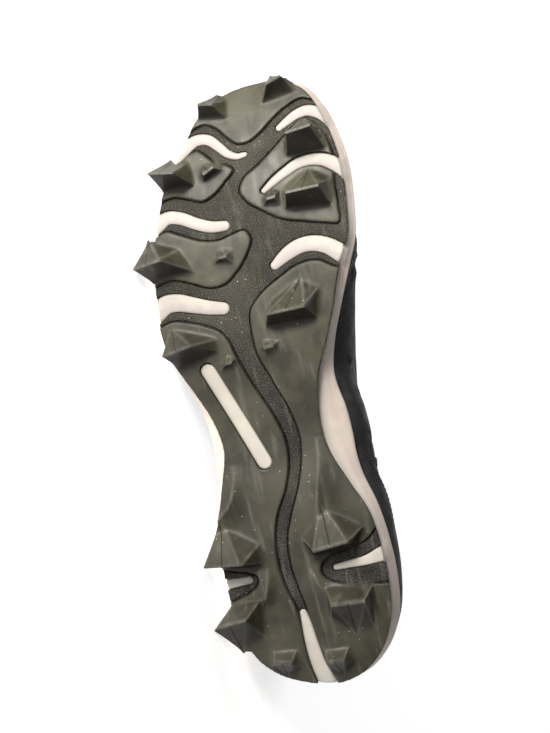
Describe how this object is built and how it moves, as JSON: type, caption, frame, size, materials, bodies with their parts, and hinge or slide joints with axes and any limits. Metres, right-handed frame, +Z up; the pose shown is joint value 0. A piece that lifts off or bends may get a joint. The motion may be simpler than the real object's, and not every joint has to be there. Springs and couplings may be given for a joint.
{
  "type": "baseball cleat",
  "caption": "Low lace-up baseball cleat with a moulded rubber studded outsole, foam midsole and smooth black upper, lying on its outer side.",
  "frame": {"origin": "middle of the footprint box, on the floor that the shoe lies on", "axes": "-X towards the toe, -Y the way the sole faces, +Z up, which is the shoe's inner side as it lies on its outer side"},
  "size_m": [0.3018, 0.132, 0.1064],
  "materials": {
    "outsole_rubber": "satin moulded rubber with smooth pods and a fine-grained web",
    "midsole_foam": "matte moulded foam",
    "upper_synthetic": "smooth satin synthetic leather with a fine grain",
    "overlay_synthetic": "satin synthetic overlay with stitched edges",
    "lining": "matte knit lining",
    "lace": "flat woven lace"
  },
  "bodies": {
    "root": {"outsole": "outsole_rubber", "midsole": "midsole_foam", "insole": "lining", "upper": "upper_synthetic", "tongue": "lining", "eyestay": "overlay_synthetic", "heel_counter": "overlay_synthetic", "lace_bar_1": "lace", "lace_bar_2": "lace", "lace_bar_3": "lace", "lace_bar_4": "lace", "lace_bar_5": "lace", "lace_bar_6": "lace"}
  },
  "joints": []
}
